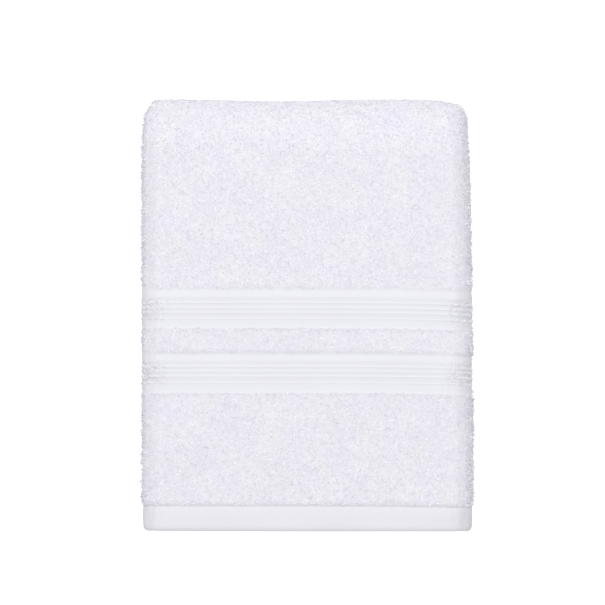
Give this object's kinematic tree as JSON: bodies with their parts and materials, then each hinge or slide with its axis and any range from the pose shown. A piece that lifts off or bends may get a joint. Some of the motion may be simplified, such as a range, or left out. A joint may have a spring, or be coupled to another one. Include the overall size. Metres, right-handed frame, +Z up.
{
  "type": "folded hand towel",
  "caption": "Terry hand towel folded in thirds and quarters, with a flat hem and two ribbed borders across its front, lying flat.",
  "frame": {"origin": "centre of the bounding box, on the surface that the towel lies on", "axes": "+X across the towel, +Y from the hem towards the outer fold, +Z up from the surface"},
  "size_m": [0.171, 0.2226, 0.0429],
  "materials": {
    "cotton_terry": "white cotton terry with looped pile, flat-woven borders and hem"
  },
  "bodies": {
    "root": {"towel": "cotton_terry"}
  },
  "joints": []
}
